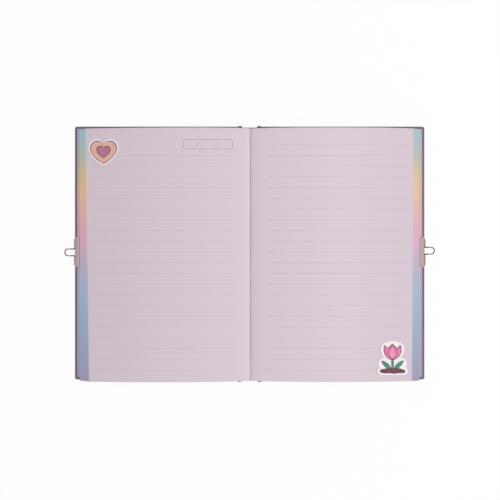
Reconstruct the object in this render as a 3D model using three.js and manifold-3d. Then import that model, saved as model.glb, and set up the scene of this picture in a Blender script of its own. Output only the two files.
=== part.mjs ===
// A hardcover secret diary lying open in the middle, in millimetres.
// X runs across the two pages, Y from tail to head, Z up from the table.
// The front cover is at -X and the back cover at +X; z = 0 is the outside of the case.
import * as THREE from 'three';
import Module from 'manifold-3d';
import { mergeVertices } from 'three/addons/utils/BufferGeometryUtils.js';

const wasm = await Module();
wasm.setup();

// Case: boards in a printed covering
const cover_height = 189;
const covering = 0.4;
const board_thickness = 2.2;
const cover_reach = 130.6;
const turn_in = 13;
const corner_radius = 1.6;

// Spine strip and the flexible joints beside it
const spine_half_width = 5.2;
const joint_width = 4.2;
const spine_shortfall = 0.7;
const spine_lining = 0.25;
const joint_gap = 0.3;
const joint_overhang = 0.5;

// Endpapers
const endpaper = 0.25;
const pastedown_square = 1.9;
const flyleaf_thickness = 0.2;
const flyleaf_gap = 0.25;

// Text block: sewn sections that fan out at the fore edge
const page_square = 0.8;
const block_drop = 1.2;
const sections_per_side = 5;
const fan_height = 4.3;
const section_gap = 0.2;
const page_arch = 1.5;
const fore_edge_square = 3.8;
const fan_width = 6.4;
const fold_inset = 0.5;
const gutter_half_gap = 0.6;
const curve_steps = 14;

// Cloth lining that holds the folded edges of the sections
const mull_thickness = 0.25;
const mull_clearance = 0.35;
const mull_inset = 3;

// The leaf that is turned, and the two stickers
const leaf_thickness = 0.2;
const leaf_gap = 0.25;
const sticker_thickness = 0.15;
const sticker_gap = 0.15;
const heart_sticker = { width: 22.5, height: 19.5, fore_margin: 1, end_margin: 8.2 };
const flower_sticker = { width: 23, height: 24.5, fore_margin: 3.2, end_margin: 4.8 };

// Lock plates crimped on the fore edges
const plate_thickness = 0.4;
const plate_length = 22;
const plate_straight = 17.2;
const plate_place = 0.7;
const plate_leg = 3.4;
const plate_proud = 0.95;
const plate_bend = 0.9;
const plate_fit = 0.2;
const plate_window = 0.9;

// Wire loops that swing in the folds of the plates
const wire = 0.85;
const loop_spacing = 5.1;
const loop_projection = 7.3;
const loop_foot = 3.2;
const loop_bend = 0.8;
const loop_play = 0.35;
const loop_seat = 0.35;
const loop_place = { front: 0.5, back: 1.75 };
const wire_sides = 10;
const wire_steps = 56;

// How far a cutter runs past the face that it opens
const overshoot = 1;

// Levels and lines worked out from the sizes above
const half_height = cover_height / 2;
const board_start = spine_half_width + joint_width;
const board_top = covering + board_thickness;
const turn_in_top = board_top + covering;
const pastedown_top = turn_in_top + endpaper;
const flyleaf_base = pastedown_top + flyleaf_gap;
const block_base = flyleaf_base + flyleaf_thickness;
const block_top = block_base + fan_height;
const leaf_base = block_top + leaf_gap;
const page_tail = -half_height + page_square - block_drop;
const page_head = half_height - page_square - block_drop;
const fan_bottom_reach = cover_reach - fore_edge_square;
const fan_top_reach = fan_bottom_reach - fan_width;
const fold_bottom = board_start - fold_inset;
const plate_tail = plate_place - plate_length / 2;
const plate_head = plate_place + plate_length / 2;
const plate_top = pastedown_top;
const plate_outer = cover_reach + plate_proud;
const plate_inner_reach = cover_reach - plate_leg;
const plate_inside = plate_outer - plate_thickness;
const plate_leg_base = plate_top - plate_thickness;
const loop_level = (plate_thickness + plate_leg_base) / 2;
const loop_axis = plate_inside - loop_seat - wire / 2;
const loop_reach = plate_outer + loop_projection;
const edge_under_plate = loop_axis - wire / 2 - loop_play;

const colours = {
  covering: 0x7c6480,
  board: 0x9a8f84,
  joint: 0x735c76,
  endpaper: 0xd9cdd8,
  lining: 0xe6e0d6,
  page: 0xdccbd6,
  metal: 0xa79c90,
  wire: 0x8d8a86,
  heart: 0xe9b3a6,
  flower: 0xe27aa6,
};

const materials = Object.fromEntries(Object.entries(colours).map(([name, color]) => {
  const metallic = name === 'metal' || name === 'wire';
  const material = new THREE.MeshStandardMaterial({
    color,
    roughness: metallic ? 0.35 : 0.8,
    metalness: metallic ? 1 : 0,
  });
  return [name, material];
}));

// A box between two corners, with every vertex exactly on its bounds
function slab(x0, x1, y0, y1, z0, z1) {
  const geometry = new THREE.BoxGeometry(1, 1, 1);
  const position = geometry.attributes.position;
  for (let i = 0; i < position.count; i += 1) {
    const x = position.getX(i) > 0 ? x1 : x0;
    const y = position.getY(i) > 0 ? y1 : y0;
    const z = position.getZ(i) > 0 ? z1 : z0;
    position.setXYZ(i, x, y, z);
  }
  return geometry;
}

// An outline in the XY plane raised from z0 to z1
function raised(shape, z0, z1, curveSegments = 8) {
  const geometry = new THREE.ExtrudeGeometry(shape, { depth: 1, bevelEnabled: false, curveSegments });
  const position = geometry.attributes.position;
  for (let i = 0; i < position.count; i += 1) {
    position.setZ(i, position.getZ(i) > 0.5 ? z1 : z0);
  }
  return geometry;
}

// A profile in the XZ plane run along Y from y0 to y1
function alongY(profile, y0, y1, curveSegments = 6) {
  const geometry = new THREE.ExtrudeGeometry(profile, { depth: 1, bevelEnabled: false, curveSegments });
  const position = geometry.attributes.position;
  for (let i = 0; i < position.count; i += 1) {
    const x = position.getX(i);
    const z = position.getY(i);
    const y = position.getZ(i) > 0.5 ? y0 : y1;
    position.setXYZ(i, x, y, z);
  }
  return geometry;
}

// The same form on the other side of the spine, with its faces still pointing out
function mirrored(geometry) {
  const flat = geometry.index ? geometry.toNonIndexed() : geometry.clone();
  const position = flat.attributes.position;
  const copy = new Float32Array(position.count * 3);
  for (let i = 0; i < position.count; i += 3) {
    [i, i + 2, i + 1].forEach((from, k) => {
      copy[(i + k) * 3] = -position.getX(from);
      copy[(i + k) * 3 + 1] = position.getY(from);
      copy[(i + k) * 3 + 2] = position.getZ(from);
    });
  }
  const result = new THREE.BufferGeometry();
  result.setAttribute('position', new THREE.BufferAttribute(copy, 3));
  return result;
}

function solid(geometry) {
  const bare = new THREE.BufferGeometry();
  bare.setAttribute('position', geometry.attributes.position.clone());
  if (geometry.index) bare.setIndex(geometry.index.clone());
  const merged = mergeVertices(bare, 1e-4);
  return new wasm.Manifold(new wasm.Mesh({
    numProp: 3,
    vertProperties: new Float32Array(merged.attributes.position.array),
    triVerts: new Uint32Array(merged.index.array),
  }));
}

function surface(body) {
  const mesh = body.getMesh();
  const geometry = new THREE.BufferGeometry();
  geometry.setAttribute('position', new THREE.BufferAttribute(new Float32Array(mesh.vertProperties), 3));
  geometry.setIndex(new THREE.BufferAttribute(new Uint32Array(mesh.triVerts), 1));
  return geometry;
}

// A piece less the cutters
function cut(geometry, ...cutters) {
  const result = cutters.reduce((body, cutter) => body.subtract(solid(cutter)), solid(geometry));
  return surface(result);
}

function joined(geometry, ...others) {
  const result = others.reduce((body, other) => body.add(solid(other)), solid(geometry));
  return surface(result);
}

// Outline of one cover in plan: square at the spine, small round corners at the fore edge
function coverOutline() {
  const outline = new THREE.Shape();
  const r = corner_radius;
  outline.moveTo(board_start, -half_height);
  outline.lineTo(cover_reach - r, -half_height);
  outline.absarc(cover_reach - r, -half_height + r, r, -Math.PI / 2, 0, false);
  outline.lineTo(cover_reach, half_height - r);
  outline.absarc(cover_reach - r, half_height - r, r, 0, Math.PI / 2, false);
  outline.lineTo(board_start, half_height);
  return outline;
}

// Room that the crimped plate takes from the cover's edge
function plateRoom() {
  const y0 = plate_tail - plate_fit;
  const y1 = plate_head + plate_fit;
  const inner = plate_inner_reach - plate_fit;
  const beyond = cover_reach + overshoot;
  return [
    slab(edge_under_plate, beyond, y0, y1, -overshoot, turn_in_top + overshoot),
    slab(inner, beyond, y0, y1, -overshoot, plate_thickness),
    slab(inner, beyond, y0, y1, plate_leg_base, turn_in_top + overshoot),
  ];
}

function boardForm() {
  const edge = cover_reach - covering;
  const y = half_height - covering;
  return cut(slab(board_start, edge, -y, y, covering, board_top), plateRoom()[0]);
}

// The part of a cover's inner face that the turn-ins leave bare
function turnInWindow(x0, z1) {
  const y = half_height - turn_in;
  return slab(x0, cover_reach - turn_in, -y, y, board_top, z1);
}

// Covering drawn round the board and turned in at the head, tail and fore edge
function coveringForm() {
  const y = half_height - covering;
  const past_spine_edge = board_start - overshoot;
  const inside = slab(past_spine_edge, cover_reach - covering, -y, y, covering, board_top);
  const opening = turnInWindow(past_spine_edge, turn_in_top + overshoot);
  return cut(raised(coverOutline(), 0, turn_in_top), inside, opening, ...plateRoom());
}

// Endpaper glued down over the turn-ins, filling the window between them
function pastedownForm() {
  const y = half_height - pastedown_square;
  const sheet = slab(board_start, cover_reach - pastedown_square, -y, y, turn_in_top, pastedown_top);
  const filling = turnInWindow(board_start, turn_in_top);
  const y0 = plate_tail - plate_fit;
  const y1 = plate_head + plate_fit;
  const inner = plate_inner_reach - plate_fit;
  const room = slab(inner, cover_reach, y0, y1, board_top, pastedown_top + overshoot);
  return cut(joined(sheet, filling), room);
}

// Height of a leaf above the bottom leaf: the stack rises and arches with its share t of the block
function leafHeight(t, s) {
  return block_base + fan_height * t + page_arch * t * 4 * s * (1 - s);
}

function leafStart(t) {
  return fold_bottom + (gutter_half_gap - fold_bottom) * t;
}

function leafEnd(t) {
  return fan_bottom_reach + (fan_top_reach - fan_bottom_reach) * t;
}

// Points along one leaf, lifted above its own level, from the fold to the fore edge
function leafLine(t, lift = 0) {
  const points = [];
  for (let i = 0; i <= curve_steps; i += 1) {
    const s = i / curve_steps;
    const x = leafStart(t) + (leafEnd(t) - leafStart(t)) * s;
    points.push(new THREE.Vector2(x, leafHeight(t, s) + lift));
  }
  return points;
}

function sheetForm(lower, upper) {
  return alongY(new THREE.Shape([...lower, ...upper.reverse()]), page_tail, page_head);
}

// One sewn section: level 1 lies on the flyleaf and the last one is the top of its half
function sectionForm(level) {
  const share = 1 / sections_per_side;
  const gap_share = section_gap / fan_height;
  const low = (level - 1) * share;
  const high = level * share - (level < sections_per_side ? gap_share : 0);
  return sheetForm(leafLine(low), leafLine(high));
}

function flyleafForm() {
  return slab(leafStart(0), leafEnd(0), page_tail, page_head, flyleaf_base, block_base);
}

function turningLeafForm() {
  return sheetForm(leafLine(1, leaf_gap), leafLine(1, leaf_gap + leaf_thickness));
}

// Cloth on the folded edges, standing like a low tent over the hollow of the open spine
function mullForm() {
  const x = fold_bottom - mull_clearance * 2;
  const foot = turn_in_top + joint_gap;
  const ridge = block_top - mull_clearance * 2;
  const profile = new THREE.Shape();
  profile.moveTo(-x, foot);
  profile.lineTo(0, ridge - mull_thickness);
  profile.lineTo(x, foot);
  profile.lineTo(x, foot + mull_thickness);
  profile.lineTo(0, ridge);
  profile.lineTo(-x, foot + mull_thickness);
  return alongY(profile, page_tail + mull_inset, page_head - mull_inset);
}

function spineBoardForm() {
  const y = half_height - spine_shortfall - covering;
  return slab(-spine_half_width, spine_half_width, -y, y, covering, board_top);
}

// Covering of the spine strip, turned in over its head and tail
function spineCoveringForm() {
  const x = spine_half_width;
  const y = half_height - spine_shortfall;
  const window_y = half_height - turn_in;
  const outer = slab(-x, x, -y, y, 0, turn_in_top);
  const past = x + overshoot;
  const board = slab(-past, past, -(y - covering), y - covering, covering, board_top);
  const opening = slab(-past, past, -window_y, window_y, board_top, turn_in_top + overshoot);
  return cut(outer, board, opening);
}

function spineLiningForm() {
  const x = spine_half_width;
  const y = half_height - turn_in;
  return slab(-x, x, -y, y, board_top, board_top + spine_lining);
}

// Flexible covering between the spine strip and a board, doubled where it is turned in
function jointForm() {
  const x0 = spine_half_width + joint_gap;
  const x1 = board_start - joint_gap;
  const y = half_height + joint_overhang;
  const y_in = half_height - turn_in;
  const strip = slab(x0, x1, -y, y, 0, covering);
  const head = slab(x0, x1, y_in, y, covering, covering * 2);
  const tail = slab(x0, x1, -y, -y_in, covering, covering * 2);
  return joined(strip, head, tail);
}

// Profile of a lock plate: a strip folded round the cover's edge with two legs
function plateProfile() {
  const inner_bend = plate_bend - plate_thickness;
  const profile = new THREE.Shape();
  profile.moveTo(plate_inner_reach, 0);
  profile.lineTo(plate_outer - plate_bend, 0);
  profile.absarc(plate_outer - plate_bend, plate_bend, plate_bend, -Math.PI / 2, 0, false);
  profile.lineTo(plate_outer, plate_top - plate_bend);
  profile.absarc(plate_outer - plate_bend, plate_top - plate_bend, plate_bend, 0, Math.PI / 2, false);
  profile.lineTo(plate_inner_reach, plate_top);
  profile.lineTo(plate_inner_reach, plate_leg_base);
  profile.lineTo(plate_outer - plate_bend, plate_leg_base);
  profile.absarc(plate_outer - plate_bend, plate_top - plate_bend, inner_bend, Math.PI / 2, 0, true);
  profile.lineTo(plate_inside, plate_bend);
  profile.absarc(plate_outer - plate_bend, plate_bend, inner_bend, 0, -Math.PI / 2, true);
  profile.lineTo(plate_inner_reach, plate_thickness);
  return profile;
}

// A corner sliced off the fold so that the plate tapers into the cover's edge
function plateTaper(sign) {
  const corner = new THREE.Shape();
  const outside = plate_outer + overshoot;
  const start = plate_place + sign * plate_straight / 2;
  const end = plate_place + sign * plate_length / 2;
  const past = end + sign * overshoot;
  corner.moveTo(outside, start);
  corner.lineTo(plate_outer, start);
  corner.lineTo(cover_reach, end);
  corner.lineTo(cover_reach, past);
  corner.lineTo(outside, past);
  return raised(corner, -overshoot, plate_top + overshoot);
}

// A slot for each leg of the loop, and the fold cut away between the two
function plateForm(middle) {
  const outside = plate_outer + overshoot;
  const above = plate_top + overshoot;
  const leg = loop_spacing / 2;
  const room = wire / 2 + loop_play;
  const slot_start = loop_axis - loop_play;
  const slot_floor = loop_level - room;
  const slots = [middle - leg, middle + leg].map((y) => (
    slab(slot_start, outside, y - room, y + room, slot_floor, above)
  ));
  const gap = slab(plate_outer - plate_window, outside, middle - leg, middle + leg, -overshoot, above);
  const strip = alongY(plateProfile(), plate_tail, plate_head);
  return cut(strip, plateTaper(1), plateTaper(-1), gap, ...slots);
}

// A quarter or half turn in a level plane
class LevelArc extends THREE.Curve {
  constructor(x, y, z, radius, from, to) {
    super();
    Object.assign(this, { x, y, z, radius, from, to });
  }

  getPoint(t, target = new THREE.Vector3()) {
    const angle = this.from + (this.to - this.from) * t;
    return target.set(
      this.x + this.radius * Math.cos(angle),
      this.y + this.radius * Math.sin(angle),
      this.z,
    );
  }
}

// Bent wire: a foot in the fold, a leg, the round end, the other leg and its foot
function loopForm(middle) {
  const half = loop_spacing / 2;
  const z = loop_level;
  const x0 = loop_axis;
  const bend = loop_bend;
  const tip = loop_reach - wire / 2 - half;
  const line = (xa, ya, xb, yb) => new THREE.LineCurve3(
    new THREE.Vector3(xa, ya, z),
    new THREE.Vector3(xb, yb, z),
  );
  const path = new THREE.CurvePath();
  path.add(line(x0, middle - half - loop_foot, x0, middle - half - bend));
  path.add(new LevelArc(x0 + bend, middle - half - bend, z, bend, Math.PI, Math.PI / 2));
  path.add(line(x0 + bend, middle - half, tip, middle - half));
  path.add(new LevelArc(tip, middle, z, half, -Math.PI / 2, Math.PI / 2));
  path.add(line(tip, middle + half, x0 + bend, middle + half));
  path.add(new LevelArc(x0 + bend, middle + half + bend, z, bend, -Math.PI / 2, -Math.PI));
  path.add(line(x0, middle + half + bend, x0, middle + half + loop_foot));
  const section = new THREE.Shape();
  section.absarc(0, 0, wire / 2, 0, Math.PI * 2, false);
  return new THREE.ExtrudeGeometry(section, {
    steps: wire_steps,
    curveSegments: wire_sides / 2,
    extrudePath: path,
    bevelEnabled: false,
  });
}

// Die-cut heart, one unit wide and high about its middle
function heartOutline(width, height) {
  const x = (value) => value * width;
  const y = (value) => value * height;
  const outline = new THREE.Shape();
  outline.moveTo(x(0), y(-0.5));
  outline.bezierCurveTo(x(0.16), y(-0.42), x(0.5), y(-0.12), x(0.5), y(0.16));
  outline.bezierCurveTo(x(0.5), y(0.4), x(0.36), y(0.5), x(0.23), y(0.5));
  outline.bezierCurveTo(x(0.12), y(0.5), x(0.04), y(0.44), x(0), y(0.34));
  outline.bezierCurveTo(x(-0.04), y(0.44), x(-0.12), y(0.5), x(-0.23), y(0.5));
  outline.bezierCurveTo(x(-0.36), y(0.5), x(-0.5), y(0.4), x(-0.5), y(0.16));
  outline.bezierCurveTo(x(-0.5), y(-0.12), x(-0.16), y(-0.42), x(0), y(-0.5));
  return outline;
}

// Die-cut tulip on a strip of earth
function flowerOutline(width, height) {
  const x = (value) => value * width;
  const y = (value) => value * height;
  const outline = new THREE.Shape();
  outline.moveTo(x(-0.36), y(-0.5));
  outline.lineTo(x(0.36), y(-0.5));
  outline.bezierCurveTo(x(0.5), y(-0.5), x(0.54), y(-0.34), x(0.42), y(-0.28));
  outline.bezierCurveTo(x(0.5), y(-0.16), x(0.46), y(0.0), x(0.26), y(0.02));
  outline.bezierCurveTo(x(0.46), y(0.2), x(0.4), y(0.46), x(0.22), y(0.48));
  outline.bezierCurveTo(x(0.12), y(0.52), x(-0.12), y(0.52), x(-0.22), y(0.48));
  outline.bezierCurveTo(x(-0.4), y(0.46), x(-0.46), y(0.2), x(-0.26), y(0.02));
  outline.bezierCurveTo(x(-0.46), y(0.0), x(-0.5), y(-0.16), x(-0.42), y(-0.28));
  outline.bezierCurveTo(x(-0.54), y(-0.34), x(-0.5), y(-0.5), x(-0.36), y(-0.5));
  return outline;
}

const diary = new THREE.Group();

function add(parent, name, geometry, material) {
  const mesh = new THREE.Mesh(geometry, materials[material]);
  mesh.name = name;
  parent.add(mesh);
  return mesh;
}

function addSide(side, form) {
  return side === 'front' ? mirrored(form) : form;
}

function addCover(side) {
  const cover = new THREE.Group();
  add(cover, `${side}_board`, addSide(side, boardForm()), 'board');
  add(cover, `${side}_covering`, addSide(side, coveringForm()), 'covering');
  add(cover, `${side}_pastedown`, addSide(side, pastedownForm()), 'endpaper');
  add(cover, `${side}_lock_plate`, addSide(side, plateForm(loop_place[side])), 'metal');
  add(cover, `${side}_lock_loop`, addSide(side, loopForm(loop_place[side])), 'wire');
  diary.add(cover);
}

function addSpine() {
  const spine = new THREE.Group();
  add(spine, 'spine_board', spineBoardForm(), 'board');
  add(spine, 'spine_covering', spineCoveringForm(), 'covering');
  add(spine, 'spine_lining', spineLiningForm(), 'lining');
  add(spine, 'front_joint', mirrored(jointForm()), 'joint');
  add(spine, 'back_joint', jointForm(), 'joint');
  add(spine, 'spine_mull', mullForm(), 'lining');
  diary.add(spine);
}

// Sections are numbered from the front cover, so level 5 is the middle of the diary on both sides
function addBlock(side) {
  const block = new THREE.Group();
  add(block, `${side}_flyleaf`, addSide(side, flyleafForm()), 'endpaper');
  for (let level = 1; level <= sections_per_side; level += 1) {
    const number = side === 'front' ? level : 2 * sections_per_side + 1 - level;
    const name = `section_${String(number).padStart(2, '0')}`;
    add(block, name, addSide(side, sectionForm(level)), 'page');
  }
  diary.add(block);
}

// A sticker lies along the slope of the page below it, in a corner of the page
function addSticker(name, size, outline, material, corner, lift) {
  const form = raised(outline(size.width, size.height), 0, sticker_thickness, 6);
  const mesh = add(diary, name, form, material);
  const span = leafEnd(1) - leafStart(1);
  const reach = leafEnd(1) - size.fore_margin - size.width / 2;
  const s = (reach - leafStart(1)) / span;
  const slope = page_arch * 4 * (1 - 2 * s) / span * corner.x;
  const end = corner.y > 0 ? page_head : page_tail;
  const y = end - corner.y * (size.end_margin + size.height / 2);
  mesh.position.set(corner.x * reach, y, leafHeight(1, s) + lift + sticker_gap);
  mesh.rotation.y = -Math.atan(slope);
}

addSpine();
addCover('front');
addCover('back');
addBlock('front');
addBlock('back');
add(diary, 'turning_leaf', turningLeafForm(), 'page');
const head_left = { x: -1, y: 1 };
const tail_right = { x: 1, y: -1 };
addSticker('heart_sticker', heart_sticker, heartOutline, 'heart', head_left, 0);
addSticker('flower_sticker', flower_sticker, flowerOutline, 'flower', tail_right, leaf_gap + leaf_thickness);

export default diary;
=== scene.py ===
"""An open secret diary with rainbow page edges, two stickers and a lock loop on each cover.

X runs across the two pages, Y from tail to head and Z up from the table.
Lengths are millimetres until a mesh is made; the front cover is at -X.
"""
import math
import random

import bpy
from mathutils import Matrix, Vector
from mathutils.geometry import tessellate_polygon


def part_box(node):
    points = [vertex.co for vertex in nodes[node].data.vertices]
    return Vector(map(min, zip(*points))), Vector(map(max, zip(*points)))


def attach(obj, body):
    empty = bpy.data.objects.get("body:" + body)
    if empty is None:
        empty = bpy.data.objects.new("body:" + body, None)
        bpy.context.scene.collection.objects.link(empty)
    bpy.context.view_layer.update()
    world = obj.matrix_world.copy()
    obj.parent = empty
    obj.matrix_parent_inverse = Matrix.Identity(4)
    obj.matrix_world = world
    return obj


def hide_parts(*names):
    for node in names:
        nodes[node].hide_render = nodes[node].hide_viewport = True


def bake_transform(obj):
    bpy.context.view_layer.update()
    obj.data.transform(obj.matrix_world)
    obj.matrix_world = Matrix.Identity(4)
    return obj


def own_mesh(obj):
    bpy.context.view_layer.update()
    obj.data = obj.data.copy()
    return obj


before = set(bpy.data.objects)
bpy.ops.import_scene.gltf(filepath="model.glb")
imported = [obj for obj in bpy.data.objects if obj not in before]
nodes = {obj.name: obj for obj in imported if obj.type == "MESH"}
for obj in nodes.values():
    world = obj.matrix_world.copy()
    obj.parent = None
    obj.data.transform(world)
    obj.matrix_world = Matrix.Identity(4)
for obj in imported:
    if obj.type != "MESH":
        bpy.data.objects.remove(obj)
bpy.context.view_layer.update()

MM = 0.001


def span(node):
    """Lowest and highest corner of a solid, in millimetres."""
    low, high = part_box(node)
    return low / MM, high / MM


# Sizes that the solids give
flyleaf_low, flyleaf_high = span("back_flyleaf")
leaf_low, leaf_high = span("turning_leaf")
plate_high = span("back_lock_plate")[1]
cover_low, cover_high = span("back_covering")
spine_high = span("spine_covering")[1]
mull_low, mull_high = span("spine_mull")

# Pages: leaves of a stack whose fore edges fan out
sections_per_side = 5
leaves_per_section = 8
leaf_gap = 0.25
section_gap = 0.2
paper = 0.085
top_paper = 0.1
page_tail, page_head = leaf_low.y, leaf_high.y
page_height = page_head - page_tail
fold_bottom, fan_bottom = flyleaf_low.x, flyleaf_high.x
fold_top, fan_top = leaf_low.x, leaf_high.x
page_width = fan_top - fold_top
block_base = flyleaf_high.z
block_top = leaf_low.z - leaf_gap
fan_height = block_top - block_base
page_arch = 1.5
page_swell = 0.5

# Folds: how far they roll down, where the two halves meet, how far the left ones draw back, and where
# the turning page's bend ends
fold_roll = 0.36
fold_roll_length = 1.5
fold_lean = 0.9
fold_meeting = 0.015
fold_lean_power = 12

# Bow of the leaves' heads, tails and fore edges on the left (-1) and the right (1)
head_base = 0.2
head_crown = {-1: 0.55, 1: 0.5}
head_skew = {-1: 0.5, 1: 1.0}
head_flatness = {-1: 2, 1: 4}
tail_at_fold = {-1: 0.0, 1: 0.2}
tail_at_edge = {-1: -0.4, 1: 0.12}
tail_bow = {-1: 0.38, 1: 0.47}
tail_drop = 0.25
tail_notch = 0.18
tail_notch_length = 9
fore_edge_pull = {-1: (1.1, -1.0), 1: (1.45, 0.2)}
edge_jitter = 0.07
jitter_seed = 7

# Steps of the leaves' meshes, which crowd towards the fold
curve_steps = 30
fold_crowding = 1.7
plain_rows = 2
page_rows = 10

# Edges that turn by more than this many degrees stay crisp
crisp_angle = 38

# A leaf's UV map holds the distance from its fore edge and the place along Y
UV_MAP = "sheet"
uv_reach = 150.0
uv_height = 200.0

# Printed ruling of a page, from the fore edge and from the middle of the height
line_pitch = 7.92
line_first = 72.1
line_last = -86.4
line_width = 0.34
line_overrun = 1.0
line_margin = 4.6
line_end = 107.8
line_blur = 0.06
margin_blur = 0.05
date_box = {"centre": (90.5, 80.55), "half": (18.1, 3.5), "corner": 1.2, "stroke": 0.42}
date_slashes = (83.4, 96.9)
slash_half = (1.6, 1.55)
slash_stroke = 0.5
date_blur = 0.07

# Dye of the fore edge, and how far from it a page is darkened with painted shade
edge_dye = 0.43
edge_dye_drift = 0.25
painted_shade_reach = 60.0

# Procedural patterns: the span that noise mostly stays in, and the size of the covering's grain
noise_roughness = 0.55
noise_low, noise_high = 0.3, 0.7
covering_grain = 1.9

# Stickers
sticker_lift = 0.02
sticker_paper = 0.13
ink_layer = 0.009
outline_ink = 0.5
heart = {"width": 22.5, "height": 19.5, "fore_margin": 1.0, "end_margin": 8.2}
heart_outline_trim = 2.4
heart_colour_trim = 3.6
small_heart_outline = (10.6, 9.0)
small_heart_colour = (9.5, 7.9)
small_heart_middle = (0, 0.3)
flower = {"width": 23.0, "height": 24.5, "fore_margin": 3.2, "end_margin": 4.8}
outline_steps = 10
earth_steps = 6

# Covering with its turned-in edges, and the softened edges of the solids
covering = 0.4
turn_in = 13
covering_bevel = 0.3
plate_bevel = 0.06
bevel_segments = 3
bevel_angle = 35
weld_distance = 0.001

# Flexible joints: a shallow groove that ends in a rounded fold at head and tail
joint_columns, joint_rows = 14, 48
joint_crowding = 0.75
joint_skew = 0.65
head_fold = 0.3
tail_swell = 2.1
tail_swell_power = 0.2
spine_shortfall = 0.7
shortfall_power = 4
groove_depth = 0.3
groove_fade = 0.5
groove_fade_power = 8
turn_in_slope = 0.5
turn_in_rise = 1.6
rim_share = 0.03
rim_lift = 0.35
rim_drop = 0.5

# Mull on the folded edges
mull = 0.25
mull_columns, mull_rows = 10, 24
mull_start = 0.02
mull_reach = 6.4
mull_ripple = 0.12
mull_ripples = 31

# Wire loops of the lock
wire = 0.85
loop_spacing = 5.1
loop_foot = 3.2
loop_bend = 0.8
loop_place = {-1: 0.5, 1: 1.75}
wire_sides = 20
bend_steps = 8
round_steps = 28
wire_tip = 0.12
wire_tip_scale = 0.55

# Camera, from the photograph's framing of 1.337 pixels to the millimetre
camera_height = 602.5
camera_x = 0.26
camera_y = 2.28
camera_lens = 57.75
camera_sensor = 36.0
camera_near = 10.0
camera_far = 10000.0

# Light
key_place = (1200.0, 40.0, 245.0)
key_width = 600.0
key_height = 260.0
key_power = 12.0
sky_zenith = 0.66
sky_side = 0.86
sky_zenith_from = 0.95
sky_side_to = 0.6
floor_half = 1500.0
floor_glow = 0.93
floor_drop = 0.02


def tone(red, green, blue):
    """A colour written as it shows on a screen, as the linear values that a shader takes."""
    def linear(value):
        share = value / 255
        return share / 12.92 if share <= 0.04045 else ((share + 0.055) / 1.055) ** 2.4
    return (linear(red), linear(green), linear(blue), 1.0)


class Recipe:
    """A node material with short names for the nodes that feed its shader."""

    def __init__(self, name, **sockets):
        self.material = bpy.data.materials.new(name)
        self.material.use_nodes = True
        self.tree = self.material.node_tree
        self.shader = self.tree.nodes["Principled BSDF"]
        for socket, value in sockets.items():
            self.shader.inputs[socket.replace("_", " ")].default_value = value

    def node(self, kind, inputs=(), **settings):
        made = self.tree.nodes.new(kind)
        for key, value in settings.items():
            setattr(made, key, value)
        for key, value in dict(inputs).items():
            self.feed(made.inputs[key], value)
        return made

    def feed(self, socket, value):
        if isinstance(value, bpy.types.NodeSocket):
            self.tree.links.new(value, socket)
        else:
            socket.default_value = value

    def math(self, operation, *values, clamp=False):
        made = self.node("ShaderNodeMath", enumerate(values), operation=operation, use_clamp=clamp)
        return made.outputs[0]

    def ramp(self, value, low, high):
        """0 below low, 1 above high and smooth between them."""
        inputs = {"Value": value, "From Min": low, "From Max": high}
        made = self.node("ShaderNodeMapRange", inputs, interpolation_type="SMOOTHSTEP")
        return made.outputs["Result"]

    def gate(self, value, low, high, soft):
        """1 between low and high, with soft sides."""
        rise = self.ramp(value, low - soft, low + soft)
        fall = self.ramp(value, high - soft, high + soft)
        return self.math("SUBTRACT", rise, fall, clamp=True)

    def mix(self, share, first, second, blend="MIX"):
        made = self.node("ShaderNodeMix", data_type="RGBA", blend_type=blend)
        self.feed(made.inputs[0], share)
        self.feed(made.inputs[6], first)
        self.feed(made.inputs[7], second)
        return made.outputs[2]

    def gradient(self, value, stops):
        made = self.node("ShaderNodeValToRGB", {"Fac": value})
        line = made.color_ramp.elements
        line[0].position, line[0].color = stops[0]
        line[1].position, line[1].color = stops[-1]
        for place, colour in stops[1:-1]:
            line.new(place).color = colour
        return made.outputs["Color"]

    def places(self):
        """Object coordinates in millimetres, whole and split."""
        spot = self.node("ShaderNodeTexCoord").outputs["Object"]
        inputs = {0: spot, "Scale": 1 / MM}
        spot = self.node("ShaderNodeVectorMath", inputs, operation="SCALE").outputs[0]
        return spot, self.node("ShaderNodeSeparateXYZ", {0: spot}).outputs

    def sheet_places(self):
        """Distance from the fore edge and place along Y, in millimetres, from the UV map."""
        uv = self.node("ShaderNodeUVMap", uv_map=UV_MAP).outputs["UV"]
        split = self.node("ShaderNodeSeparateXYZ", {0: uv})
        along = self.math("MULTIPLY", split.outputs[0], uv_reach)
        height = self.math("MULTIPLY_ADD", split.outputs[1], uv_height, -uv_height / 2)
        spot = self.node("ShaderNodeCombineXYZ", {0: along, 1: height}).outputs[0]
        return along, height, spot

    def noise(self, spot, scale, detail=3.0):
        inputs = {"Vector": spot, "Scale": scale, "Detail": detail, "Roughness": noise_roughness}
        return self.node("ShaderNodeTexNoise", inputs).outputs["Fac"]

    def cells(self, spot, scale):
        """Distance to the middle of the nearest cell of a pressed grain."""
        return self.node("ShaderNodeTexVoronoi", {"Vector": spot, "Scale": scale}).outputs["Distance"]

    def stretch(self, spot, factors):
        return self.node("ShaderNodeVectorMath", {0: spot, 1: factors}, operation="MULTIPLY").outputs[0]

    def rest(self, value):
        """What a share leaves of 1."""
        return self.math("SUBTRACT", 1.0, value)

    def bump(self, height, strength, distance):
        inputs = {"Height": height, "Strength": strength, "Distance": distance * MM}
        self.feed(self.shader.inputs["Normal"], self.node("ShaderNodeBump", inputs).outputs[0])

    def paint(self, colour):
        self.feed(self.shader.inputs["Base Color"], colour)
        return self.material

    def vary(self, spot, scale, low, high):
        """A value that drifts between low and high over the surface."""
        inputs = {"Value": self.noise(spot, scale), "From Min": noise_low, "From Max": noise_high}
        made = self.node("ShaderNodeMapRange", {**inputs, "To Min": low, "To Max": high})
        return made.outputs["Result"]


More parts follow.
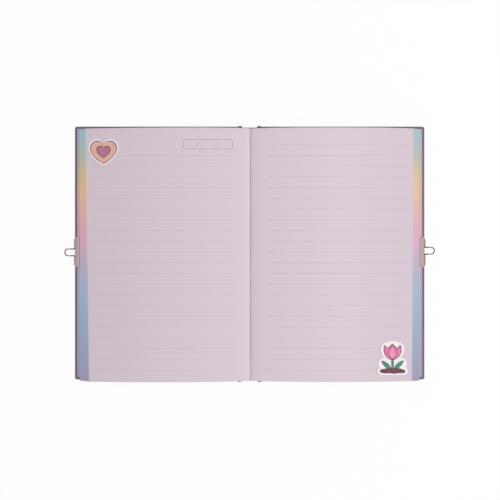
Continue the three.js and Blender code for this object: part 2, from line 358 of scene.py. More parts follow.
# The rainbow of the page edges, from head to tail
RAINBOW = {
    "sky": (0.00, (176, 198, 212)),
    "sage": (0.12, (194, 197, 187)),
    "straw": (0.18, (217, 199, 168)),
    "apricot": (0.25, (227, 198, 172)),
    "rose": (0.40, (223, 184, 196)),
    "orchid": (0.45, (221, 183, 203)),
    "lilac": (0.52, (198, 186, 203)),
    "cornflower": (0.67, (174, 191, 211)),
    "periwinkle": (0.82, (170, 180, 203)),
    "violet": (1.00, (170, 166, 188)),
}


def rainbow_colour(recipe, height):
    share = recipe.math("MULTIPLY_ADD", height, -1 / page_height, page_head / page_height)
    stops = [(place, tone(*colour)) for place, colour in RAINBOW.values()]
    return recipe.gradient(share, stops)


def ruling(recipe, along, height, first):
    """Ink of the printed lines, the first of them at the given height."""
    from_line = recipe.math("PINGPONG", recipe.math("SUBTRACT", height, first), line_pitch / 2)
    line = recipe.gate(from_line, -line_width, line_width / 2, line_blur)
    across = recipe.gate(along, line_margin, line_end, margin_blur)
    down = recipe.gate(height, line_last - line_overrun, first + line_overrun, margin_blur)
    return recipe.math("MULTIPLY", line, recipe.math("MULTIPLY", across, down))


def date_ink(recipe, along, height):
    """Ink of the empty date box: a rounded outline with two slashes."""
    def beyond(value, middle, half):
        offset = recipe.math("ABSOLUTE", recipe.math("SUBTRACT", value, middle))
        return recipe.math("SUBTRACT", offset, half - date_box["corner"])
    dx = beyond(along, date_box["centre"][0], date_box["half"][0])
    dy = beyond(height, date_box["centre"][1], date_box["half"][1])
    squares = [recipe.math("POWER", recipe.math("MAXIMUM", d, 0.0), 2.0) for d in (dx, dy)]
    outside = recipe.math("SQRT", recipe.math("ADD", *squares))
    inside = recipe.math("MINIMUM", recipe.math("MAXIMUM", dx, dy), 0.0)
    edge = recipe.math("SUBTRACT", recipe.math("ADD", outside, inside), date_box["corner"])
    stroke = date_box["stroke"]
    ink = recipe.gate(edge, -stroke / 2, stroke / 2, date_blur)
    rise = recipe.math("SUBTRACT", height, date_box["centre"][1])
    lean = recipe.math("MULTIPLY", rise, slash_half[0] / slash_half[1])
    reach = recipe.gate(rise, -slash_half[1], slash_half[1], margin_blur)
    for middle in date_slashes:
        offset = recipe.math("SUBTRACT", recipe.math("SUBTRACT", along, middle), lean)
        slash = recipe.gate(offset, -slash_stroke / 2, slash_stroke / 2, date_blur)
        ink = recipe.math("MAXIMUM", ink, recipe.math("MULTIPLY", slash, reach))
    return ink


def page_material(name, dated, dye_painted_light, dye_depth, paper_painted_light, painted_shade_share):
    """Lilac writing paper with a dyed fore edge; a dated page has a date box in place of its top line.
    Its paper and dye carry painted light set for each half, and painted shade darkens it towards the fore
    edge.
    """
    recipe = Recipe(name, Roughness=0.82, Specular_IOR_Level=0.25)
    along, height, spot = recipe.sheet_places()
    fibre = recipe.noise(spot, scale=9.0, detail=4.0)
    cloud = recipe.noise(spot, scale=0.06, detail=1.0)
    sheet = recipe.mix(cloud, tone(218, 202, 212), tone(221, 206, 215))
    sheet = recipe.mix(recipe.ramp(fibre, low=0.35, high=0.75), sheet, tone(223, 208, 217))
    # Painted light: this gain brightens one half's paper
    sheet = recipe.mix(1.0, sheet, (paper_painted_light, paper_painted_light, paper_painted_light, 1.0), blend="MULTIPLY")
    # Painted shade: the paper darkens towards the fore edge, more on one half than the other
    fore_edge_shade = recipe.rest(recipe.ramp(along, low=0.0, high=painted_shade_reach))
    sheet = recipe.mix(recipe.math("MULTIPLY", fore_edge_shade, painted_shade_share), sheet, tone(214, 198, 208))
    first = line_first if dated else line_first + line_pitch
    sheet = recipe.mix(ruling(recipe, along, height, first), sheet, tone(208, 192, 206))
    if dated:
        sheet = recipe.mix(date_ink(recipe, along, height), sheet, tone(182, 165, 180))
    drift = recipe.noise(spot, scale=1.6)
    spread = recipe.math("MULTIPLY_ADD", drift, edge_dye_drift, edge_dye)
    dye = recipe.rest(recipe.ramp(recipe.math("DIVIDE", along, spread), low=0.7, high=1.15))
    # Painted light: the dye's brightness is set apart for each half
    rich = {"Color": rainbow_colour(recipe, height), "Saturation": dye_depth, "Value": dye_painted_light}
    colour = recipe.node("ShaderNodeHueSaturation", rich).outputs["Color"]
    recipe.bump(fibre, strength=0.25, distance=0.03)
    return recipe.paint(recipe.mix(dye, sheet, colour))


def endpaper_material():
    """Endpaper printed with the rainbow, a little duller than the edges."""
    recipe = Recipe("printed_endpaper", Roughness=0.7, Specular_IOR_Level=0.3)
    spot, axes = recipe.places()
    fibre = recipe.noise(spot, scale=7.0, detail=4.0)
    colour = rainbow_colour(recipe, axes[1])
    colour = recipe.mix(0.2, colour, tone(170, 150, 165))
    colour = recipe.mix(recipe.math("MULTIPLY", fibre, 0.2), colour, tone(214, 196, 206))
    recipe.bump(fibre, strength=0.2, distance=0.03)
    return recipe.paint(colour)


def covering_material():
    """Mauve laminated paper with a fine pressed grain, rubbed a little along its edges."""
    recipe = Recipe(
        "mauve_covering", Roughness=0.46, Specular_IOR_Level=0.4, Coat_Weight=0.12, Coat_Roughness=0.3
    )
    spot, axes = recipe.places()
    grain = recipe.cells(spot, covering_grain)
    fine = recipe.noise(spot, scale=6.0, detail=4.0)
    cloud = recipe.noise(spot, scale=0.04, detail=2.0)
    colour = recipe.mix(cloud, tone(127, 102, 119), tone(138, 112, 129))
    colour = recipe.mix(recipe.ramp(grain, low=0.1, high=0.6), tone(118, 94, 112), colour)
    far = recipe.math("SUBTRACT", recipe.math("ABSOLUTE", axes[0]), cover_high.x)
    end = recipe.math("SUBTRACT", recipe.math("ABSOLUTE", axes[1]), cover_high.y)
    rim = recipe.ramp(recipe.math("MAXIMUM", far, end), low=-0.5, high=0.0)
    patches = recipe.ramp(recipe.noise(spot, scale=0.8), low=0.5, high=0.75)
    rubbed = recipe.math("MULTIPLY", rim, patches)
    colour = recipe.mix(recipe.math("MULTIPLY", rubbed, 0.35), colour, tone(178, 158, 172))
    recipe.feed(recipe.shader.inputs["Roughness"], recipe.vary(spot, scale=0.15, low=0.4, high=0.55))
    pressed = recipe.math("ADD", grain, recipe.math("MULTIPLY", fine, 0.4))
    recipe.bump(pressed, strength=0.35, distance=0.05)
    return recipe.paint(colour)


def joint_material():
    """The covering where it bends, creased along its length, with painted shade that darkens its folds.
    """
    recipe = Recipe("creased_covering", Roughness=0.5, Specular_IOR_Level=0.4)
    spot = recipe.sheet_places()[2]
    crease = recipe.noise(recipe.stretch(spot, (3.0, 0.12, 1.0)), scale=1.4, detail=3.0)
    grain = recipe.cells(spot, covering_grain)
    # Painted shade: the low parts of the creases take the dark tone
    colour = recipe.mix(recipe.ramp(crease, low=0.35, high=0.65), tone(104, 80, 98), tone(130, 105, 124))
    folded = recipe.math("ADD", crease, recipe.math("MULTIPLY", grain, 0.5))
    recipe.bump(folded, strength=0.4, distance=0.08)
    return recipe.paint(colour)


def board_material():
    """Grey millboard with pressed flecks."""
    recipe = Recipe("millboard", Roughness=0.9, Specular_IOR_Level=0.2)
    spot = recipe.places()[0]
    fleck = recipe.noise(recipe.stretch(spot, (0.6, 0.6, 5.0)), scale=1.5, detail=5.0)
    recipe.bump(fleck, strength=0.4, distance=0.08)
    return recipe.paint(recipe.mix(fleck, tone(128, 119, 108), tone(172, 162, 149)))


def lining_material():
    """Cream lining paper on the spine board."""
    recipe = Recipe("lining_paper", Roughness=0.85, Specular_IOR_Level=0.2)
    fibre = recipe.noise(recipe.places()[0], scale=4.0, detail=5.0)
    recipe.bump(fibre, strength=0.3, distance=0.04)
    return recipe.paint(recipe.mix(fibre, tone(216, 205, 190), tone(236, 228, 215)))


def mull_material():
    """Open-weave cotton, with its threads as a bump."""
    recipe = Recipe("mull_cloth", Roughness=0.95, Specular_IOR_Level=0.15)
    threads = {"Vector": recipe.sheet_places()[2], "Scale": 0.5}
    warp, weft = (
        recipe.node("ShaderNodeTexWave", threads, bands_direction=way).outputs["Fac"] for way in "XY"
    )
    weave = recipe.math("MULTIPLY", warp, weft)
    recipe.bump(weave, strength=0.6, distance=0.12)
    return recipe.paint(recipe.mix(weave, tone(188, 180, 166), tone(232, 226, 214)))


def metal_material():
    """Champagne-plated strip, brushed along its length, with painted light: a pink reflection of the
    pages painted on its inward part, and the right plate painted brighter, with a dark reflection painted
    along its outer rim.
    """
    recipe = Recipe("champagne_plate", Metallic=1.0, Roughness=0.36)
    spot, axes = recipe.places()
    streak = recipe.noise(recipe.stretch(spot, (6.0, 0.35, 6.0)), scale=1.6, detail=5.0)
    patch = recipe.noise(spot, scale=0.22, detail=2.0)
    colour = recipe.mix(recipe.ramp(streak, low=0.3, high=0.7), tone(178, 161, 160), tone(202, 185, 184))
    colour = recipe.mix(recipe.ramp(patch, low=0.55, high=0.75), colour, tone(190, 177, 154))
    inward = recipe.math("SUBTRACT", plate_high.x, recipe.math("ABSOLUTE", axes[0]))
    # Painted reflection: the part towards the pages takes their pink
    pages_reflection = recipe.math("MULTIPLY", recipe.ramp(inward, low=1.0, high=3.8), 0.8)
    colour = recipe.mix(pages_reflection, colour, tone(222, 196, 208))
    # Painted light: the right plate, on the lamp's side, is painted brighter
    painted_right_plate = recipe.ramp(axes[0], low=-10.0, high=10.0)
    colour = recipe.mix(recipe.math("MULTIPLY", painted_right_plate, 0.5), colour, tone(240, 212, 206))
    # Painted dark reflection along the right plate's outer rim
    rim = recipe.math("MULTIPLY", recipe.rest(recipe.ramp(inward, low=0.6, high=1.3)), painted_right_plate)
    colour = recipe.mix(recipe.math("MULTIPLY", rim, 0.75), colour, tone(112, 98, 88))
    recipe.feed(recipe.shader.inputs["Roughness"], recipe.vary(spot, scale=0.5, low=0.28, high=0.46))
    recipe.bump(streak, strength=0.2, distance=0.02)
    return recipe.paint(colour)


def wire_material():
    """Polished steel wire with faint drawing marks, painted dark as a reflection and darkest at its root,
    with a painted highlight on its legs.
    """
    recipe = Recipe("steel_wire", Metallic=1.0, Roughness=0.2)
    spot, axes = recipe.places()
    mark = recipe.noise(spot, scale=3.5, detail=4.0)
    recipe.feed(recipe.shader.inputs["Roughness"], recipe.vary(spot, scale=1.2, low=0.14, high=0.3))
    recipe.bump(mark, strength=0.15, distance=0.02)
    reach = recipe.math("SUBTRACT", recipe.math("ABSOLUTE", axes[0]), plate_high.x)
    # Painted dark reflection: the wire's tones are dark, darker still towards its root at the plate
    colour = recipe.mix(mark, tone(48, 44, 40), tone(76, 71, 65))
    colour = recipe.mix(recipe.ramp(reach, low=1.0, high=4.5), colour, tone(112, 108, 103))
    # Painted highlight: a bright band across the legs
    painted_glint = recipe.math("MULTIPLY", recipe.gate(reach, low=2.9, high=4.1, soft=0.5), 0.8)
    return recipe.paint(recipe.mix(painted_glint, colour, tone(214, 211, 206)))


def ink_material(name, colour, shade):
    """One flat colour of a sticker's print, with a fine halftone drift."""
    recipe = Recipe(name, Roughness=0.4, Specular_IOR_Level=0.45)
    spot = recipe.places()[0]
    drift = recipe.ramp(recipe.noise(spot, scale=0.5, detail=2.0), noise_low, noise_high)
    recipe.bump(recipe.noise(spot, scale=12.0, detail=2.0), strength=0.08, distance=0.01)
    return recipe.paint(recipe.mix(drift, tone(*colour), tone(*shade)))


def make_piece(name, points, faces, materials, kinds=None, uvs=None):
    """A mesh object from points in millimetres; kinds picks each face's material."""
    mesh = bpy.data.meshes.new(name)
    mesh.from_pydata([Vector(p) * MM for p in points], [], faces)
    for material in materials:
        mesh.materials.append(material)
    if kinds:
        mesh.polygons.foreach_set("material_index", kinds)
    mesh.polygons.foreach_set("use_smooth", [True] * len(faces))
    mesh.set_sharp_from_angle(angle=math.radians(crisp_angle))
    if uvs:
        layer = mesh.uv_layers.new(name=UV_MAP)
        for loop in mesh.loops:
            layer.data[loop.index].uv = uvs[loop.vertex_index]
    mesh.validate()
    piece = bpy.data.objects.new(name, mesh)
    bpy.context.scene.collection.objects.link(piece)
    return piece


def closed_grid(columns, rows):
    """Faces of a closed sheet on grid points with two levels each, and whether each is an under face."""
    def at(i, j, level):
        return 2 * (j * (columns + 1) + i) + level

    for j in range(rows):
        for i in range(columns):
            corners = [(i, j), (i + 1, j), (i + 1, j + 1), (i, j + 1)]
            yield [at(*c, 1) for c in corners], False
            yield [at(*c, 0) for c in reversed(corners)], True
    for i in range(columns):
        yield [at(i, 0, 0), at(i + 1, 0, 0), at(i + 1, 0, 1), at(i, 0, 1)], False
        yield [at(i, rows, 1), at(i + 1, rows, 1), at(i + 1, rows, 0), at(i, rows, 0)], False
    for j in range(rows):
        n = columns
        yield [at(0, j, 0), at(0, j, 1), at(0, j + 1, 1), at(0, j + 1, 0)], False
        yield [at(n, j, 1), at(n, j, 0), at(n, j + 1, 0), at(n, j + 1, 1)], False


def make_sheet(name, side, columns, rows, place, material):
    """A closed sheet; place gives x, y and the levels of both faces at shares of its width and height."""
    points, uvs, faces = [], [], []
    for j in range(rows + 1):
        for i in range(columns + 1):
            x, y, low, high = place(i / columns, j / rows)
            points += [(side * x, y, low), (side * x, y, high)]
            uvs += [(x / uv_reach, (y + uv_height / 2) / uv_height)] * 2
    for corners, _ in closed_grid(columns, rows):
        faces.append(corners if side > 0 else corners[::-1])
    return make_piece(name, points, faces, [material], uvs=uvs)


def leaf_start(side, t):
    """Where a leaf folds; t is its share of the way up. The top folds meet right of the middle."""
    lean = (fold_meeting + side * fold_lean - fold_top) * t ** fold_lean_power
    return fold_bottom + (fold_top - fold_bottom) * t + lean


def leaf_end(side, t, height):
    """Fore edge of a leaf, which is not quite square to its head and tail."""
    head_pull, tail_pull = fore_edge_pull[side]
    share = (height - page_tail) / page_height
    pull = tail_pull + (head_pull - tail_pull) * share
    return fan_bottom + (fan_top - fan_bottom) * t + pull * t


def leaf_edge(side, t, s, share):
    """Place along Y of a leaf's point at a share of its height, with its bowed head and tail."""
    crown = 1 - abs(2 * s ** head_skew[side] - 1) ** head_flatness[side]
    head = head_crown[side] * crown - head_base
    tail = tail_at_fold[side] * (1 - s) + tail_at_edge[side] * s - tail_bow[side] * 4 * s * (1 - s)
    notch = tail_notch * math.exp(-s * page_width / tail_notch_length)
    lift = t * (tail + tail_drop) - tail_drop + notch
    straight = page_tail + page_height * share
    return straight + lift * (1 - share) ** 2 + t * head * share ** 2


def leaf_level(t, s):
    """Height of a leaf at a share s of its width from the fold."""
    arch = (page_arch * t + page_swell * t ** 3) * 4 * s * (1 - s)
    roll = fold_roll * t * math.exp(-s * page_width / fold_roll_length)
    return block_base + fan_height * t + arch - roll


class Leaves:
    """Thin leaves of one half of the diary, gathered into one mesh."""

    def __init__(self, side):
        self.side = side
        self.points, self.uvs, self.faces, self.kinds = [], [], [], []

    def add(self, t, lift, thickness, shift, rows):
        first = len(self.points)
        for j in range(rows + 1):
            height = page_tail + page_height * j / rows
            for i in range(curve_steps + 1):
                s = (i / curve_steps) ** fold_crowding
                start = leaf_start(self.side, t)
                end = leaf_end(self.side, t, height) + shift
                x = start + (end - start) * s
                y = leaf_edge(self.side, t, s, j / rows)
                z = leaf_level(t, s) + lift
                for level in (z, z + thickness):
                    self.points.append((self.side * x, y, level))
                    self.uvs.append(((end - x) / uv_reach, (y + uv_height / 2) / uv_height))
        for corners, under in closed_grid(curve_steps, rows):
            corners = [first + k for k in corners]
            self.faces.append(corners if self.side > 0 else corners[::-1])
            self.kinds.append(int(under == (self.side > 0)))

    def piece(self, name):
        materials = [finish["recto"], finish["verso"]]
        return make_piece(name, self.points, self.faces, materials, self.kinds, self.uvs)


def section_name(side, level):
    number = level if side < 0 else 2 * sections_per_side + 1 - level
    return f"section_{number:02d}"


def make_section(side, level, chance):
    """A sewn section as a stack of single leaves."""
    share = 1 / sections_per_side
    gap = section_gap / fan_height if level < sections_per_side else 0
    low, high = (level - 1) * share, level * share - gap
    leaves = Leaves(side)
    step = (high - low) / leaves_per_section
    for k in range(leaves_per_section):
        top = level == sections_per_side and k == leaves_per_section - 1
        t = high if top else low + step * k
        lift = -top_paper if top else 0
        shift = 0 if top else chance.uniform(-edge_jitter, edge_jitter)
        leaves.add(t, lift, top_paper if top else paper, shift, page_rows if top else plain_rows)
    node = section_name(side, level)
    piece = leaves.piece(f"{node}_leaves")
    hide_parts(node)
    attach(piece, node)
    if side < 0 and level == sections_per_side:
        draw_back_folds(piece)


def draw_back_folds(piece):
    """Gives the top left section's leaves a mesh of their own."""
    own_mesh(piece)


def make_turning_page():
    """The top leaf on the right, which bends down beside the fold."""
    leaves = Leaves(1)
    leaves.add(1.0, leaf_gap, top_paper, 0, page_rows)
    piece = leaves.piece("turning_page")
    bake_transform(piece)
    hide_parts("turning_leaf")


def page_point(side, x, y, lift):
    """A point above the top page at a distance x from the middle of the spine."""
    start = leaf_start(side, 1.0)
    s = (x - start) / (leaf_end(side, 1.0, y) - start)
    return (side * x, y, leaf_level(1.0, s) + lift)


def bezier(points, steps=outline_steps):
    """Points along joined cubic curves, without the last."""
    line = []
    for k in range(0, len(points) - 1, 3):
        a, b, c, d = (Vector(p) for p in points[k:k + 4])
        for i in range(steps):
            u = i / steps
            v = 1 - u
            line.append(a * v ** 3 + b * 3 * u * v * v + c * 3 * u * u * v + d * u ** 3)
    return line


def mirrored_outline(half):
    """A closed outline from its right half, which runs from bottom to top."""
    right = bezier(half) + [Vector(half[-1])]
    left = [Vector((-p.x, p.y)) for p in reversed(right[1:-1])]
    return right + left


def inset(outline, distance):
    """The outline moved inwards by a distance."""
    moved = []
    count = len(outline)
    for k, point in enumerate(outline):
        ahead = outline[(k + 1) % count] - outline[k - 1]
        moved.append(point + Vector((-ahead.y, ahead.x)).normalized() * distance)
    return moved


def scaled(outline, width, height, middle=(0.0, 0.0)):
    return [Vector((p.x * width + middle[0], p.y * height + middle[1])) for p in outline]


def flipped(outline):
    return [Vector((-p.x, p.y)) for p in reversed(outline)]


# The heart, and the paper round the tulip, in a square with sides of 1
HEART = mirrored_outline([
    (0, -0.5), (0.16, -0.42), (0.5, -0.12), (0.5, 0.16),
    (0.5, 0.4), (0.36, 0.5), (0.23, 0.5),
    (0.12, 0.5), (0.04, 0.44), (0, 0.34),
])
TULIP_CUT = mirrored_outline([
    (0, -0.5), (0.12, -0.5), (0.24, -0.5), (0.36, -0.5),
    (0.5, -0.5), (0.54, -0.34), (0.42, -0.28),
    (0.5, -0.16), (0.46, 0.0), (0.26, 0.02),
    (0.46, 0.2), (0.4, 0.46), (0.22, 0.48),
    (0.12, 0.52), (0.05, 0.51), (0, 0.51),
])

# The tulip's shapes in millimetres from the sticker's middle, each run anticlockwise
BLOOM = mirrored_outline([
    (0, -1.0), (2.4, -1.0), (4.6, 0.2), (5.9, 3.2),
    (6.9, 5.6), (6.8, 8.0), (6.0, 9.9),
    (5.0, 9.2), (4.2, 8.4), (3.4, 7.3),
    (2.6, 8.6), (1.2, 9.9), (0, 10.9),
])
PETAL = mirrored_outline([
    (0, -0.6), (1.8, -0.4), (3.1, 1.8), (2.9, 4.6),
    (2.7, 6.6), (1.3, 8.6), (0, 9.7),
])
STEM = mirrored_outline([
    (0, -9.0), (0.3, -9.0), (0.6, -9.0), (0.9, -9.0),
    (0.8, -6.0), (0.8, -3.0), (0.9, -0.5),
    (0.6, -0.5), (0.3, -0.5), (0, -0.5),
])
LEAF = bezier([
    (0.5, -8.6), (4.2, -8.2), (7.6, -5.2), (8.4, -1.6),
    (5.4, -1.8), (1.6, -4.4), (0.5, -8.6),
])
EARTH = bezier([
    (-8.4, -10.6), (-5.6, -11.5), (-2.8, -10.6), (0, -11.2),
    (2.8, -11.6), (5.6, -10.6), (8.4, -11.0),
    (10.2, -10.6), (9.8, -8.2), (7.6, -8.3),
    (5.2, -6.9), (2.6, -7.4), (0, -7.0),
    (-2.6, -6.6), (-5.0, -7.6), (-7.4, -7.9),
    (-9.8, -8.0), (-10.2, -10.2), (-8.4, -10.6),
], earth_steps)


class Sticker:
    """Layers of printed shapes on die-cut paper, laid along the page."""

    def __init__(self, side, size, lift, inks):
        self.side, self.inks = side, inks
        end = page_head if side < 0 else page_tail
        self.x = fan_top - size["fore_margin"] - size["width"] / 2
        self.y = end + side * (size["end_margin"] + size["height"] / 2)
        self.base = lift
        self.points, self.faces, self.kinds = [], [], []

    def layer(self, outline, ink, top):
        first = len(self.points)
        count = len(outline)
        for lift in (0, top):
            for p in outline:
                x = self.x + self.side * p.x
                self.points.append(page_point(self.side, x, self.y + p.y, self.base + lift))
        for a, b, c in tessellate_polygon([[Vector((p.x, p.y, 0)) for p in outline]]):
            area = (outline[b] - outline[a]).cross(outline[c] - outline[a])
            turn = (a, b, c) if area > 0 else (c, b, a)
            self.faces.append([first + count + k for k in turn])
            self.faces.append([first + k for k in reversed(turn)])
        for k in range(count):
            ahead = (k + 1) % count
            self.faces.append([first + k, first + ahead, first + count + ahead, first + count + k])
        self.kinds += [self.inks.index(ink)] * (len(self.faces) - len(self.kinds))

    def piece(self, name):
        materials = [finish[ink] for ink in self.inks]
        return make_piece(name, self.points, self.faces, materials, self.kinds)


def make_heart_sticker():
    """A peach heart with a smaller dusty pink heart in it."""
    sticker = Sticker(-1, heart, sticker_lift, ["sticker", "umber", "peach", "dusty"])
    width, height = heart["width"], heart["height"]
    hearts = [
        (scaled(HEART, width - heart_outline_trim, height - heart_outline_trim), "umber"),
        (scaled(HEART, width - heart_colour_trim, height - heart_colour_trim), "peach"),
        (scaled(HEART, *small_heart_outline, small_heart_middle), "umber"),
        (scaled(HEART, *small_heart_colour, small_heart_middle), "dusty"),
    ]
    sticker.layer(scaled(HEART, width, height), "sticker", sticker_paper)
    for rank, (outline, ink) in enumerate(hearts, start=1):
        sticker.layer(outline, ink, sticker_paper + rank * ink_layer)
    piece = sticker.piece("heart_sticker_print")
    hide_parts("heart_sticker")
    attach(piece, "section_05")


def make_flower_sticker():
    """A pink tulip with two leaves, standing in a strip of earth."""
    inks = ["sticker", "umber", "teal", "pink", "earth", "rose"]
    sticker = Sticker(1, flower, leaf_gap + top_paper + sticker_lift, inks)
    sticker.layer(scaled(TULIP_CUT, flower["width"], flower["height"]), "sticker", sticker_paper)
    green = [(LEAF, "teal"), (flipped(LEAF), "teal"), (STEM, "teal")]
    shapes = green + [(EARTH, "earth"), (BLOOM, "pink"), (PETAL, "rose")]
    for rank, (outline, ink) in enumerate(shapes):
        sticker.layer(outline, "umber", sticker_paper + (2 * rank + 1) * ink_layer)
        sticker.layer(inset(outline, outline_ink), ink, sticker_paper + (2 * rank + 2) * ink_layer)
    piece = sticker.piece("flower_sticker_print")
    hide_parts("flower_sticker")
    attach(piece, "leaf")


def loop_path(middle):
    """Centre line of a wire loop: a foot, a leg, the round end, the other leg and its foot."""
    low, high = span("back_lock_loop")
    level = (low.z + high.z) / 2
    half = loop_spacing / 2
    start = low.x + wire / 2
    tip = high.x - wire / 2 - half
    line = []

    def arc(cx, cy, radius, first, last, steps):
        for k in range(steps + 1):
            angle = math.radians(first + (last - first) * k / steps)
            line.append(Vector((cx + radius * math.cos(angle), cy + radius * math.sin(angle), level)))

    line.append(Vector((start, middle - half - loop_foot, level)))
    arc(start + loop_bend, middle - half - loop_bend, loop_bend, 180, 90, bend_steps)
    arc(tip, middle, half, -90, 90, round_steps)
    arc(start + loop_bend, middle + half + loop_bend, loop_bend, -90, -180, bend_steps)
    line.append(Vector((start, middle + half + loop_foot, level)))
    return line


def make_loop(side, name, body):
    """Round steel wire along the loop's centre line, with rounded ends."""
    line = loop_path(loop_place[side])
    tip, up = Vector((0, wire_tip, 0)), Vector((0, 0, 1))
    rings = [(line[0], wire_tip_scale), (line[0] + tip, 1.0)]
    rings += [(p, 1.0) for p in line[1:-1]]
    rings += [(line[-1] - tip, 1.0), (line[-1], wire_tip_scale)]
    points, faces = [], []
    for k, (centre, scale) in enumerate(rings):
        before = rings[max(k - 1, 0)][0]
        after = rings[min(k + 1, len(rings) - 1)][0]
        ahead = (after - before).normalized()
        across = ahead.cross(up)
        for n in range(wire_sides):
            angle = 2 * math.pi * n / wire_sides
            offset = across * math.cos(angle) + up * math.sin(angle)
            p = centre + offset * (wire / 2 * scale)
            points.append((side * p.x, p.y, p.z))
    for k in range(len(rings) - 1):
        for n in range(wire_sides):
            m = (n + 1) % wire_sides
            a, b = k * wire_sides + n, k * wire_sides + m
            faces.append([a, b, b + wire_sides, a + wire_sides])
    faces.append(list(range(wire_sides))[::-1])
    last = (len(rings) - 1) * wire_sides
    faces.append(list(range(last, last + wire_sides)))
    if side < 0:
        faces = [f[::-1] for f in faces]
    piece = make_piece(f"{name}_wire", points, faces, [finish["wire"]])
    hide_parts(name)
    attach(piece, body)


def make_joint(side, node):
    """The covering's flexible strip: a groove along the spine with a rounded fold at each end."""
    x0, x1 = spine_high.x, cover_low.x
    head_swell = span(node)[1].y - cover_high.y + head_fold

    def place(u, v):
        y_share = math.copysign(abs(2 * v - 1) ** joint_crowding, 2 * v - 1)
        swell = math.sin(math.pi * u ** joint_skew)
        if v > 0.5:
            beyond = head_swell * swell
        else:
            beyond = tail_swell * max(0.0, math.sin(math.pi * u)) ** tail_swell_power
        end = cover_high.y - spine_shortfall * (1 - u) ** shortfall_power + beyond
        y = end * y_share
        groove = groove_depth * swell ** 2 * (1 - groove_fade * abs(y_share) ** groove_fade_power)
        turned = max(0.0, min(1.0, (abs(y) - (cover_high.y - turn_in)) / turn_in_slope))
        rim = max(0.0, (abs(y_share) - (1 - rim_share)) / rim_share)
        low = groove + rim_lift * rim ** 2
        high = covering * (1 + turned) + groove + turn_in_rise * turned - rim_drop * rim ** 2
        return x0 + (x1 - x0) * u, y, low, high

    piece = make_sheet(f"{node}_groove", side, joint_columns, joint_rows, place, finish["joint"])
    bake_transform(piece)
    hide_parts(node)


def make_mull(side, word):
    """Half of the cloth on the folded edges, carried by the spine."""
    foot, ridge = mull_low.z, mull_high.z - mull

    def place(u, v):
        x = mull_start + (mull_reach - mull_start) * u
        y = mull_low.y + (mull_high.y - mull_low.y) * v
        ripple = mull_ripple * math.sin(math.pi * u) * math.sin(v * mull_ripples)
        z = ridge + (foot - ridge) * x / mull_high.x + ripple
        return x, y, z, z + mull

    piece = make_sheet(f"{word}_mull_cloth", side, mull_columns, mull_rows, place, finish["mull"])
    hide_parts("spine_mull")
    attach(piece, "spine")
    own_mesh(piece)


def soften(solid, width):
    """Rounds the edges of a solid by a small width."""
    weld = solid.modifiers.new("weld", "WELD")
    weld.merge_threshold = weld_distance * MM
    bevel = solid.modifiers.new("soft_edges", "BEVEL")
    bevel.width = width * MM
    bevel.segments = bevel_segments
    bevel.limit_method = "ANGLE"
    bevel.angle_limit = math.radians(bevel_angle)
    bevel.harden_normals = True


def dress(node, material):
    solid = nodes[node]
    solid.data.materials.clear()
    solid.data.materials.append(material)


def dress_solids():
    """Materials and soft edges for the solids whose shape stays."""
    for word in ("front", "back"):
        dress(f"{word}_board", finish["board"])
        dress(f"{word}_covering", finish["covering"])
        dress(f"{word}_pastedown", finish["endpaper"])
        dress(f"{word}_flyleaf", finish["endpaper"])
        dress(f"{word}_lock_plate", finish["metal"])
        soften(nodes[f"{word}_covering"], covering_bevel)
        soften(nodes[f"{word}_lock_plate"], plate_bevel)
    dress("spine_board", finish["board"])
    dress("spine_covering", finish["covering"])
    dress("spine_lining", finish["lining"])
    soften(nodes["spine_covering"], covering_bevel)


def make_floor():
    """A white table that keeps the diary's shadow."""
    corners = [(x * floor_half, y * floor_half, 0) for x, y in ((-1, -1), (1, -1), (1, 1), (-1, 1))]
    recipe = Recipe("white_table", Roughness=1.0)
    tree = recipe.tree
    diffuse = recipe.node("ShaderNodeBsdfDiffuse", {"Color": tone(250, 250, 250)})
    glow = recipe.node("ShaderNodeEmission", {"Color": (1, 1, 1, 1), "Strength": 1.0})
    path = recipe.node("ShaderNodeLightPath").outputs
    seen = recipe.math("MAXIMUM", path["Is Camera Ray"], path["Is Glossy Ray"])
    seen = recipe.math("MAXIMUM", seen, path["Is Transmission Ray"])
    mixed = recipe.node("ShaderNodeMixShader", {0: recipe.math("MULTIPLY", seen, floor_glow)})
    tree.links.new(diffuse.outputs[0], mixed.inputs[1])
    tree.links.new(glow.outputs[0], mixed.inputs[2])
    tree.links.new(mixed.outputs[0], tree.nodes["Material Output"].inputs["Surface"])
    tree.nodes.remove(recipe.shader)
    floor = make_piece("table_top", corners, [(0, 1, 2, 3)], [recipe.material])
    floor.location.z = -floor_drop * MM


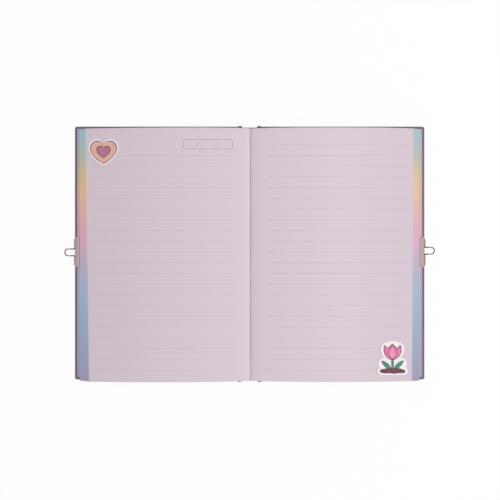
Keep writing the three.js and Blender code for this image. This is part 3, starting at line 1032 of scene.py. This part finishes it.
def make_light():
    """A soft lamp low on the right, in a pale room that is darker overhead."""
    lamp = bpy.data.lights.new("window_light", "AREA")
    lamp.shape = "RECTANGLE"
    lamp.size = key_width * MM
    lamp.size_y = key_height * MM
    lamp.energy = key_power
    holder = bpy.data.objects.new("window_light", lamp)
    bpy.context.scene.collection.objects.link(holder)
    holder.location = Vector(key_place) * MM
    holder.rotation_euler = holder.location.to_track_quat("Z", "Y").to_euler()
    holder.visible_glossy = False
    world = bpy.data.worlds.new("pale_room")
    bpy.context.scene.world = world
    world.use_nodes = True
    tree = world.node_tree
    spot = tree.nodes.new("ShaderNodeTexCoord")
    split = tree.nodes.new("ShaderNodeSeparateXYZ")
    ramp = tree.nodes.new("ShaderNodeValToRGB")
    tree.links.new(spot.outputs["Generated"], split.inputs[0])
    tree.links.new(split.outputs["Z"], ramp.inputs["Fac"])
    tree.links.new(ramp.outputs["Color"], tree.nodes["Background"].inputs["Color"])
    side, zenith = ramp.color_ramp.elements
    side.position, side.color = sky_side_to, (sky_side, sky_side, sky_side, 1)
    zenith.position, zenith.color = sky_zenith_from, (sky_zenith, sky_zenith, sky_zenith, 1)


def make_camera():
    """Straight overhead, as the photograph is taken."""
    lens = bpy.data.cameras.new("overhead")
    lens.sensor_width = camera_sensor
    lens.lens = camera_lens
    lens.clip_start = camera_near * MM
    lens.clip_end = camera_far * MM
    camera = bpy.data.objects.new("overhead", lens)
    camera.location = Vector((camera_x, camera_y, camera_height)) * MM
    bpy.context.scene.collection.objects.link(camera)
    bpy.context.scene.camera = camera


finish = {
    # Painted light brightens the verso's dye and the recto's paper; painted shade darkens both towards
    # the fore edge, the recto most
    "recto": page_material(
        "ruled_recto", dated=False, dye_painted_light=0.98, dye_depth=1.0, paper_painted_light=1.035, painted_shade_share=1.0),
    "verso": page_material(
        "ruled_verso", dated=True, dye_painted_light=1.16, dye_depth=1.12, paper_painted_light=1.0, painted_shade_share=0.5),
    "endpaper": endpaper_material(),
    "covering": covering_material(),
    "joint": joint_material(),
    "board": board_material(),
    "lining": lining_material(),
    "mull": mull_material(),
    "metal": metal_material(),
    "wire": wire_material(),
    "sticker": ink_material("sticker_paper", (240, 234, 236), (246, 241, 242)),
    "umber": ink_material("umber_ink", (92, 66, 70), (104, 76, 80)),
    "peach": ink_material("peach_ink", (226, 172, 156), (233, 184, 170)),
    "dusty": ink_material("dusty_pink_ink", (176, 108, 140), (190, 122, 152)),
    "pink": ink_material("pink_ink", (226, 112, 162), (236, 134, 178)),
    "rose": ink_material("rose_ink", (240, 140, 182), (244, 160, 196)),
    "teal": ink_material("teal_ink", (72, 142, 122), (92, 160, 140)),
    "earth": ink_material("earth_ink", (104, 64, 76), (122, 78, 88)),
}

make_camera()
make_light()
make_floor()
dress_solids()
chance = random.Random(jitter_seed)
for side in (-1, 1):
    for level in range(1, sections_per_side + 1):
        make_section(side, level, chance)
make_turning_page()
make_heart_sticker()
make_flower_sticker()
halves = ((-1, "front"), (1, "back"))
for side, word in halves:
    make_loop(side, f"{word}_lock_loop", f"{word}_loop")
for side, word in halves:
    make_joint(side, f"{word}_joint")
for side, word in halves:
    make_mull(side, word)

bpy.context.scene.view_settings.view_transform = "Standard"
bpy.context.view_layer.update()
